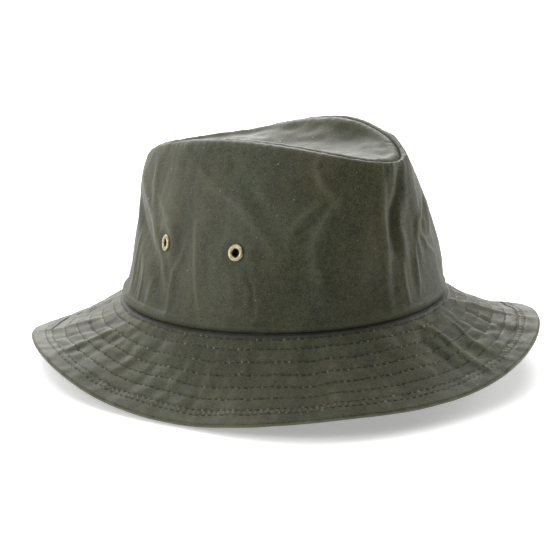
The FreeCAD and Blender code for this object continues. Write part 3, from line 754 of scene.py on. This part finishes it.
def sewn_face(reaches, depth, columns, sign, seed):
    """A sewn face of the brim and its colour shift of rubbing, painted shade and painted highlight; sign +1
    puffs it up between the rows of stitching, -1 down.
    """
    turn, reach = np.broadcast_arrays(turns(columns), reaches[:, None])
    puff, wear_and_shading = quilting(turn, reach, seed, ROWS)
    held = between(reach, 0, 2, TUCK_START, TUCK_END)
    puff = puff * held - 0.12 * smooth_step(TUCK_START, TUCK_END, reach)
    crest, rub = creases(turn, reach, BRIM_FOLDS, brim_axes)
    # Painted shade: the brim painted darker next to the crown, under its hem.
    dark = 2.6 * hump(np.maximum(reach, 0), 1.9)
    # Crease crests and ripples painted paler as highlight, their hollows darker as shade; rub adds the
    # rubbed crests.
    wear_and_shading = wear_and_shading * held + 0.5 * crest + rub + 0.25 * brim_ripple(turn, reach) - dark
    return brim_sheet(reaches, depth, columns, sign * puff), wear_and_shading


def make_brim_upper(material):
    reaches = sewn_reaches(BRIM_START, BRIM_END, ROWS)
    top, wear_and_shading = sewn_face(reaches, 0.0, BRIM_COLUMNS, 1, seed=41)
    piece = cloth_ring("brim_upper_cloth", top, brim_sheet(reaches[::6], CLOTH, BRIM_COLUMNS))
    piece.data.flip_normals()
    finish_piece(piece, material, "brim_upper", wear_and_shading)


def make_brim_lower(material):
    reaches = sewn_reaches(-0.4, BRIM_END, ROWS)
    under, wear_and_shading = sewn_face(reaches, BRIM_THICK, LOWER_COLUMNS, -1, seed=42)
    piece = cloth_ring("brim_lower_cloth", under, brim_sheet(reaches[::6], LOWER_DEPTH, LOWER_COLUMNS))
    finish_piece(piece, material, "brim_lower", wear_and_shading)


def make_interlining(material):
    top, under = (brim_sheet(np.linspace(-0.2, BRIM_END, 24), depth, STIFFENER_COLUMNS)
                  for depth in (CLOTH + PLY_GAP, CLOTH + PLY_GAP + STIFFENER))
    piece = cloth_ring("brim_stiffener", top, under)
    piece.data.flip_normals()
    finish_piece(piece, material, "brim_interlining")


def binding_path():
    """Section of the binding's outer face: (reach, depth, side) over the top, edge and underside."""
    top, bottom = BINDING_FACES
    middle, half = (top + bottom) / 2, (bottom - top) / 2
    reaches = sewn_reaches(BINDING_START, BRIM_WIDTH - half, EDGE_ROWS)
    arc = [(BRIM_WIDTH - half + half * math.sin(angle), middle - half * math.cos(angle),
            math.cos(angle)) for angle in np.linspace(0, math.pi, 16)[1:-1]]
    return ([(reach, top, 1) for reach in reaches] + arc
            + [(reach, bottom, -1) for reach in reaches[::-1]])


def make_binding(material):
    path = np.array(binding_path())
    turn, reach, depth, side = np.broadcast_arrays(turns(BRIM_COLUMNS), *path.T[..., None])
    puff, wear_and_shading = quilting(turn, reach, 51, EDGE_ROWS)
    double_row = hump(reach - sum(EDGE_ROWS) / 2, 0.9)
    beat = np.cos(WHOLE_TURN * SEWN[EDGE_ROWS[0]].phase(turn) * 1.27)
    bumps = 0.20 * beat * double_row * smooth_step(-1, 1, ring_noise(turn, reach, 1, 60, seed=53))
    puff = 0.55 * (puff - 0.2) + bumps
    lip = 0.10 * hump(reach - BINDING_START, 0.6)
    outer = brim_point(turn, reach, depth - side * (puff + lip))
    inner_reach = np.minimum(reach, BRIM_WIDTH - BINDING_CLOTH)
    inner = brim_point(turn, inner_reach, depth + np.sign(side) * BINDING_CLOTH)
    crest, rub = creases(turn, reach, BRIM_FOLDS, brim_axes)
    edge = 1.6 * smooth_step(58.8, 60.0, reach)
    # Crests and the bumps between the edge rows painted paler as highlight, hollows darker as shade; the
    # pale line at the very edge is worn cloth.
    wear_and_shading = 0.8 * wear_and_shading + 0.3 * crest + 0.4 * rub + 9 * bumps + 0.25 + edge
    piece = cloth_ring("brim_binding_cloth", outer, inner)
    piece.data.flip_normals()
    finish_piece(piece, material, "brim_binding", wear_and_shading)


STITCH_SECTIONS, STITCH_SIDES = 7, 6


def stitch_row(name, reach, depth, sign, material, node):
    """A ring of separate stitches lying in the cloth, each a thread that dips in at both ends."""
    row = SEWN[reach]
    along = np.linspace(-0.5, 0.5, STITCH_SECTIONS)[None]
    rng = np.random.default_rng(int(reach * 10) + (sign > 0))
    length = STITCH / STITCH_PITCH * rng.uniform(0.92, 1.06, row.count)[:, None]
    turn = row.turn_at(np.arange(row.count)[:, None] + 0.5 + along * length)
    skew = rng.normal(0, 0.09, row.count)[:, None] * along * 2 + rng.normal(0, 0.07, row.count)[:, None]
    arch = np.sqrt(np.clip(1 - (2 * np.abs(along)) ** 3, 0, 1))
    lift = sign * (0.10 + 0.30 * (arch - 1))
    thick = THREAD / 2 * (0.35 + 0.65 * arch)
    away = (reach + skew)[..., None] + thick[..., None] * np.cos(turns(STITCH_SIDES))
    deep = (depth - lift)[..., None] - thick[..., None] * np.sin(turns(STITCH_SIDES))
    points = brim_point(turn[..., None], away, deep)
    size = STITCH_SECTIONS * STITCH_SIDES
    firsts = np.arange(row.count) * size
    quads = grid_faces(STITCH_SECTIONS, STITCH_SIDES)
    cap = np.arange(STITCH_SIDES)
    caps = np.stack([cap[::-1], size - STITCH_SIDES + cap])
    piece = new_object(name, to_row(points), (firsts[:, None, None] + quads).reshape(-1, 4),
                       (firsts[:, None, None] + caps).reshape(-1, STITCH_SIDES))
    finish_piece(piece, material, node)


def make_stitching(material):
    for number, reach in enumerate(ALL_ROWS, start=1):
        cover, sunk = (BINDING_CLOTH + PLY_GAP, 0.18) if reach in EDGE_ROWS else (0.0, 0.20)
        for kind, depth, sign in (("needle", sunk - cover, 1), ("bobbin", BRIM_THICK + cover - sunk, -1)):
            stitch_row(f"{kind}_stitches_{number}", reach, depth, sign, material,
                       f"{kind}_thread_row_{number}")


# ---- Inside ----

INSIDE_COLUMNS, INSIDE_ROWS = 480, 60
LINING_TIP_COLUMNS, LINING_TIP_ROWS = 360, 40
BAND_RIB = 3.2  # pitch of the sweatband's ribs


def inside_wall(turn, height, extra):
    climb = height / ridge_height(turn)
    depth = LINING_LOW + (LINING_HIGH - LINING_LOW) * smooth_step(0, LINING_STEP, height) + extra
    bend = np.minimum(wall_relief(turn, height)[0], 0.2)
    return wall_point(turn, climb) - wall_outward(turn, climb) * wide(depth - bend)


def make_sweatband(material):
    turn, height = np.broadcast_arrays(turns(INSIDE_COLUMNS),
                                       np.linspace(BAND_FOOT, BAND_HEIGHT, INSIDE_ROWS)[:, None])
    near = LINING_CLOTH + BAND_GAP
    rib = 0.10 * np.sin(height * WHOLE_TURN / BAND_RIB)
    sag = 0.25 * ring_noise(turn, height, 3.0, 30, seed=61)
    hem = 0.35 * hump(BAND_HEIGHT - 1.6 - height, 1.0)
    padding = BAND_CLOTH + rib + hem + sag * (height > 2)
    piece = cloth_ring("sweatband_cloth", inside_wall(turn, height, near),
                       inside_wall(turn, height, near + padding))
    finish_piece(piece, material, "sweatband")


def make_lining_side(material):
    turn, share = np.broadcast_arrays(turns(INSIDE_COLUMNS), np.linspace(0, 1, INSIDE_ROWS)[:, None])
    height = BAND_FOOT + (LINING_TOP * ridge_height(turn) - BAND_FOOT) * share
    slack = smooth_step(BAND_HEIGHT, BAND_HEIGHT + 12, height) * (1 - smooth_step(0.9, 1, share))
    loose = slack * (0.5 + 0.5 * ring_noise(turn, height, 2.5, 22, seed=62))
    piece = cloth_ring("lining_side_cloth", inside_wall(turn, height, loose),
                       inside_wall(turn, height, LINING_CLOTH + loose))
    finish_piece(piece, material, "lining_side")


def make_lining_tip(material):
    share = np.linspace(0, 1, LINING_TIP_ROWS)[1:, None]
    rim = seam_point(turns(LINING_TIP_COLUMNS), LINING_TIP_INSET, 0.0)
    x, y = rim[..., 0] * share, rim[..., 1] * share
    loose = 0.35 * soft_noise(stack(x, y, 0 * x), 22, seed=63) * (1 - share ** 4)
    top = stack(x, y, tip_height(x, y) - LINING_TIP_DROP + loose)
    rows = np.concatenate([top, top[::-1] - np.array([0, 0, LINING_CLOTH])])
    level = tip_height(0.0, 0.0) - LINING_TIP_DROP
    piece = disc("lining_tip_cloth", rows, [[0, 0, level], [0, 0, level - LINING_CLOTH]])
    finish_piece(piece, material, "lining_tip")


# ---- Eyelets ----

EYELET_COLUMNS = 64
UP = (0.0, 0.0, 1.0)


def eyelet_section():
    """Half section of an eyelet as (radius, height): barrel, rolled flange, curled end."""
    bore, barrel, rim, roll = 2.4, 2.8, 5.0, 0.75
    mouth = [(bore + roll * (1 - math.cos(a)), 0.35 + roll * math.sin(a))
             for a in np.linspace(0, math.pi / 2, 9)]
    flange = [(rim - roll + roll * math.cos(a), 0.30 + 0.80 * math.sin(a))
              for a in np.linspace(math.pi / 2, -0.3, 10)]
    curl = [(3.2 + 0.42 * math.cos(a), -1.93 + 0.2 * math.sin(a))
            for a in np.linspace(math.pi / 2, -math.pi / 2, 6)]
    return [(bore, -2.1)] + mouth + flange + [(rim - 0.2, 0.06), (barrel, 0.06), (barrel, -1.7)] + curl


def make_eyelet(place, material):
    degrees, level, round_tilt, up_tilt = EYELETS[place]
    turn = math.radians(degrees) + np.zeros(1)
    out = wall_outward(turn, level / ridge_height(turn))[0]
    centre = eyelet_centre(degrees, level) + out * wall_relief(turn, level + 0 * turn)[0][0]
    aside = np.cross(UP, out)
    out = unit(out - unit(aside) * round_tilt - np.cross(out, aside) * up_tilt)
    aside = unit(np.cross(UP, out))
    around = turns(EYELET_COLUMNS)
    ring = aside * wide(np.cos(around)) + np.cross(out, aside) * wide(np.sin(around))
    rows = np.array([centre + out * height + ring * radius for radius, height in eyelet_section()])
    piece = new_object(f"eyelet_{place}_ring", to_row(rows), grid_faces(len(rows), len(around), loop=True))
    piece.data.flip_normals()
    finish_piece(piece, material, f"eyelet_{place}")


# ---- Materials ----

WAVE_SCALE = 0.314  # scale of a wave texture whose bands are one unit apart


class Nodes:
    """A short way to write a material's nodes and their links."""

    def __init__(self, name):
        self.material = bpy.data.materials.new(name)
        self.material.use_nodes = True
        self.tree = self.material.node_tree
        self.shader = self.tree.nodes["Principled BSDF"]
        self.position = self.add("ShaderNodeTexCoord").outputs["Object"]

    def feed(self, socket, value):
        if isinstance(value, bpy.types.NodeSocket):
            self.tree.links.new(value, socket)
        else:
            socket.default_value = value

    def add(self, kind, settings=(), **inputs):
        """A node; inputs are sockets by name, with _ for a space."""
        node = self.tree.nodes.new(kind)
        for key, value in dict(settings).items():
            setattr(node, key, value)
        for key, value in inputs.items():
            self.feed(node.inputs[key.replace("_", " ")], value)
        return node

    def finish(self, **inputs):
        """The material, once the shader's own sockets are fed."""
        for key, value in inputs.items():
            self.feed(self.shader.inputs[key.replace("_", " ")], value)
        return self.material

    def noise(self, size, detail=3.0, roughness=0.55):
        """Noise whose patches are about size metres across."""
        return self.add("ShaderNodeTexNoise", Vector=self.position, Scale=1 / size, Detail=detail,
                        Roughness=roughness).outputs["Fac"]

    def maths(self, operation, *values):
        node = self.add("ShaderNodeMath", {"operation": operation})
        for socket, value in zip(node.inputs, values):
            self.feed(socket, value)
        return node.outputs[0]

    def spread(self, value, low, high, to_low=0.0, to_high=1.0):
        return self.add("ShaderNodeMapRange", {"clamp": True}, Value=value, From_Min=low, From_Max=high,
                        To_Min=to_low, To_Max=to_high).outputs[0]

    def blend(self, share, first, second, kind="MIX"):
        node = self.add("ShaderNodeMix", {"data_type": "RGBA", "blend_type": kind})
        for socket, value in ((0, share), (6, first), (7, second)):
            self.feed(node.inputs[socket], value)
        return node.outputs[2]

    def bump(self, height, distance, strength, **normal):
        return self.add("ShaderNodeBump", Height=height, Distance=distance, Strength=strength,
                        **normal).outputs[0]

    def weave(self, pitch):
        """Height of a plain weave over the cloth's own map."""
        cloth = self.add("ShaderNodeUVMap", {"uv_map": "cloth"}).outputs[0]
        return self.maths("MAXIMUM", *(
            self.add("ShaderNodeTexWave", {"bands_direction": direction}, Vector=cloth,
                     Scale=WAVE_SCALE / pitch, Distortion=0.4, Detail=1.0).outputs["Fac"]
            for direction in ("X", "Y")))


def rgb(red, green, blue):
    return (red, green, blue, 1.0)


def grey(value):
    return rgb(value, value, value)


def waxed_cotton(name):
    """Oiled canvas: mottled olive with browner and greyer parts, paler where worn, with painted highlights
    and painted shade read from the cloth's point values.
    """
    nodes = Nodes(name)
    hue = nodes.spread(nodes.noise(0.040, 3.0), 0.36, 0.66)
    patches = nodes.spread(nodes.noise(0.028, 4.0, 0.6), 0.30, 0.72)
    mottle = nodes.spread(nodes.noise(0.0034, 3.0, 0.7), 0.30, 0.72)
    grain = nodes.spread(nodes.noise(0.0008, 1.5, 0.8), 0.30, 0.70)
    wear_and_shading = nodes.add("ShaderNodeAttribute", {"attribute_name": "wear_and_shading"}).outputs["Fac"]
    base = nodes.blend(hue, rgb(0.039, 0.037, 0.0155), rgb(0.034, 0.039, 0.018))
    tone = nodes.maths("ADD", nodes.maths("MULTIPLY", patches, 0.25), nodes.maths("MULTIPLY", mottle, 0.25))
    tone = nodes.maths("ADD", tone, nodes.maths("MULTIPLY", grain, 0.50))
    shade = nodes.blend(nodes.spread(tone, 0.2, 0.8), grey(0.32), grey(1.78))
    colour = nodes.blend(1.0, base, shade, "MULTIPLY")
    # Paler where the cloth is worn, and where highlights are painted on its rises and on the tip.
    rubbed_and_highlit = nodes.maths("MULTIPLY", nodes.spread(wear_and_shading, 0.15, 2.4), nodes.spread(grain, 0, 1, 0.55, 1.0))
    colour = nodes.blend(rubbed_and_highlit, colour, rgb(0.125, 0.124, 0.080))
    # Palest marks: painted highlights between stitches on partly rubbed cloth, on the binding's bumps and
    # on the tip.
    worn_specks_and_highlights = nodes.spread(wear_and_shading, 2.6, 5.0, 0.0, 0.8)
    colour = nodes.blend(worn_specks_and_highlights, colour, rgb(0.340, 0.340, 0.270))
    # Painted shade: darker in hollows, under the stitches, in the tip's seam and in the join of crown and
    # brim.
    painted_shade = nodes.spread(wear_and_shading, -0.3, -2.4, 0.0, 0.75)
    colour = nodes.blend(painted_shade, colour, rgb(0.012, 0.012, 0.009))
    lint = nodes.maths("MULTIPLY", nodes.spread(nodes.noise(0.0014, 0.0, 0.5), 0.880, 0.895), 0.5)
    cloth = nodes.bump(nodes.weave(0.00055), 0.00008, 0.4)
    rough = nodes.bump(nodes.noise(0.0016, 3.0, 0.7), 0.00025, 0.45, Normal=cloth)
    return nodes.finish(Base_Color=nodes.blend(lint, colour, grey(0.5)),
                        Roughness=nodes.spread(mottle, 0, 1, 0.50, 0.62), Specular_IOR_Level=0.3,
                        Sheen_Weight=0.03, Sheen_Roughness=0.4, Sheen_Tint=rgb(0.90, 0.93, 0.92),
                        Normal=nodes.bump(nodes.noise(0.006, 2.0), 0.0006, 0.35, Normal=rough))


def plain_cotton(name, dark, light, pitch, strength):
    nodes = Nodes(name)
    share = nodes.spread(nodes.noise(0.012, 4.0, 0.6), 0.3, 0.7)
    weave = nodes.weave(pitch)
    # Darker in the weave's hollows: painted shade between the threads.
    colour = nodes.blend(nodes.spread(weave, 0, 1, 0.35, 0), nodes.blend(share, dark, light), dark)
    return nodes.finish(Base_Color=colour, Roughness=0.82, Sheen_Weight=0.15,
                        Normal=nodes.bump(weave, 0.00015, strength))


def thread_material(name):
    nodes = Nodes(name)
    share = nodes.spread(nodes.noise(0.004, 2.0), 0.35, 0.65)
    # Dark olive thread, darker than the cloth: partly its own colour, partly painted shade of stitches sunk
    # in the cloth.
    return nodes.finish(Base_Color=nodes.blend(share, rgb(0.014, 0.014, 0.009), rgb(0.036, 0.035, 0.023)),
                        Roughness=0.6, Sheen_Weight=0.15,
                        Normal=nodes.bump(nodes.noise(0.00025, 2.0), 0.0001, 0.6))


def brass_material(name):
    nodes = Nodes(name)
    tarnish = nodes.spread(nodes.noise(0.0022, 5.0, 0.7), 0.42, 0.72)
    return nodes.finish(Base_Color=nodes.blend(tarnish, rgb(0.40, 0.35, 0.21), rgb(0.12, 0.10, 0.055)),
                        Roughness=nodes.spread(tarnish, 0, 1, 0.30, 0.55), Metallic=0.9,
                        Normal=nodes.bump(nodes.noise(0.0006, 3.0), 0.00008, 0.4))


def floor_material(name):
    nodes = Nodes(name)
    return nodes.finish(Base_Color=nodes.blend(nodes.noise(0.4, 2.0), grey(0.86), grey(0.88)),
                        Roughness=0.9, Emission_Color=grey(1.0), Emission_Strength=0.36)


# ---- Studio ----

CAMERA_TURN, CAMERA_CLIMB, CAMERA_ROLL = math.radians(-50.0), math.radians(17.83), math.radians(-1.08)
CAMERA_DISTANCE, LENS = 1.4, 149.5
AIM_RIGHT, AIM_DOWN = 1.37, 5.61  # the crown's base centre off the picture's middle, in mm
LIT_POINT = Vector((0, 0, 0.07))  # where the lights are aimed
# Square soft lights: turn and climb in degrees, then distance and size in metres, and power in watts.
SOFTBOXES = (("left_low", -132, 12, 1.5, 0.6, 8), ("left_high", -95, 35, 1.5, 0.7, 5.5),
             ("right", 60, 20, 1.5, 0.8, 13), ("back", 130, 24, 1.6, 1.0, 23),
             ("back_left", 170, 28, 1.6, 1.0, 13), ("top", 140, 70, 1.8, 2.0, 24),
             ("front_top", -50, 75, 1.8, 1.6, 10))
# The surround's strength: how much of a direction points to the camera's side, and what it gives.
SKY = {"From Min": -1.0, "From Max": -0.2, "To Min": 0.60, "To Max": 0.04}


def direction(turn, climb):
    """Unit vector from the hat, at a turn round it and a climb above the floor."""
    return Vector((math.sin(turn) * math.cos(climb), -math.cos(turn) * math.cos(climb), math.sin(climb)))


def add_camera():
    back = direction(CAMERA_TURN, CAMERA_CLIMB)
    side = Vector((math.cos(CAMERA_TURN), math.sin(CAMERA_TURN), 0))
    right = side * math.cos(CAMERA_ROLL) + back.cross(side) * math.sin(CAMERA_ROLL)
    rise = back.cross(right)
    camera = bpy.data.objects.new("camera", bpy.data.cameras.new("camera"))
    bpy.context.scene.collection.objects.link(camera)
    camera.data.lens = LENS
    camera.data.clip_start = 0.05
    target = Vector(STAND * MM) - right * AIM_RIGHT * MM + rise * AIM_DOWN * MM
    turned = Matrix((right, rise, back)).transposed().to_4x4()
    camera.matrix_world = Matrix.Translation(target + back * CAMERA_DISTANCE) @ turned
    bpy.context.scene.camera = camera


def add_softbox(name, turn, climb, distance, size, power):
    away = direction(math.radians(turn), math.radians(climb))
    light = bpy.data.objects.new(name, bpy.data.lights.new(name, "AREA"))
    light.data.size = size
    light.data.energy = power
    bpy.context.scene.collection.objects.link(light)
    light.location = LIT_POINT + away * distance
    light.rotation_euler = away.to_track_quat("Z", "Y").to_euler()


def make_sky():
    """A faint surround, brighter behind the hat, where a studio has its white wall."""
    world = bpy.data.worlds.new("studio")
    world.use_nodes = True
    tree = world.node_tree
    background = tree.nodes["Background"]
    background.inputs["Color"].default_value = grey(1.0)
    facing = tree.nodes.new("ShaderNodeVectorMath")
    facing.operation = "DOT_PRODUCT"
    tree.links.new(tree.nodes.new("ShaderNodeTexCoord").outputs["Generated"], facing.inputs[0])
    facing.inputs[1].default_value = direction(CAMERA_TURN, 0)
    level = tree.nodes.new("ShaderNodeMapRange")
    level.interpolation_type = "SMOOTHSTEP"
    tree.links.new(facing.outputs["Value"], level.inputs["Value"])
    for name, number in SKY.items():
        level.inputs[name].default_value = number
    tree.links.new(level.outputs["Result"], background.inputs["Strength"])
    bpy.context.scene.world = world


def make_studio():
    bpy.ops.mesh.primitive_plane_add(size=8.0, location=(0, 0, 0))
    floor = bpy.context.object
    floor.name = "studio_floor"
    floor.data.materials.append(floor_material("studio_floor"))
    make_sky()
    for place, *numbers in SOFTBOXES:
        add_softbox(f"{place}_softbox", *numbers)
    bpy.context.scene.view_settings.view_transform = "Standard"


# ---- Assembly ----

cotton = waxed_cotton("waxed_cotton")
thread = thread_material("olive_thread")
lining = plain_cotton("lining_cotton", rgb(0.018, 0.018, 0.013), rgb(0.034, 0.033, 0.025), 0.0005, 0.4)
band = plain_cotton("sweatband_cotton", rgb(0.020, 0.020, 0.016), rgb(0.045, 0.043, 0.034), 0.0009, 0.6)
stiffener = plain_cotton("stiffener", rgb(0.55, 0.53, 0.47), rgb(0.70, 0.68, 0.62), 0.0008, 0.3)
brass = brass_material("antique_brass")

make_crown_side(cotton)
make_crown_tip(cotton)
make_brim_upper(cotton)
make_brim_lower(cotton)
make_interlining(stiffener)
make_binding(cotton)
make_stitching(thread)
make_sweatband(band)
make_lining_side(lining)
make_lining_tip(lining)
for eyelet_place in EYELETS:
    make_eyelet(eyelet_place, brass)
for node_name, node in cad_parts.items():
    if node.hide_render:
        continue
    node.data.materials.clear()
    node.data.materials.append(brass if "washer" in node_name else thread)

add_camera()
make_studio()
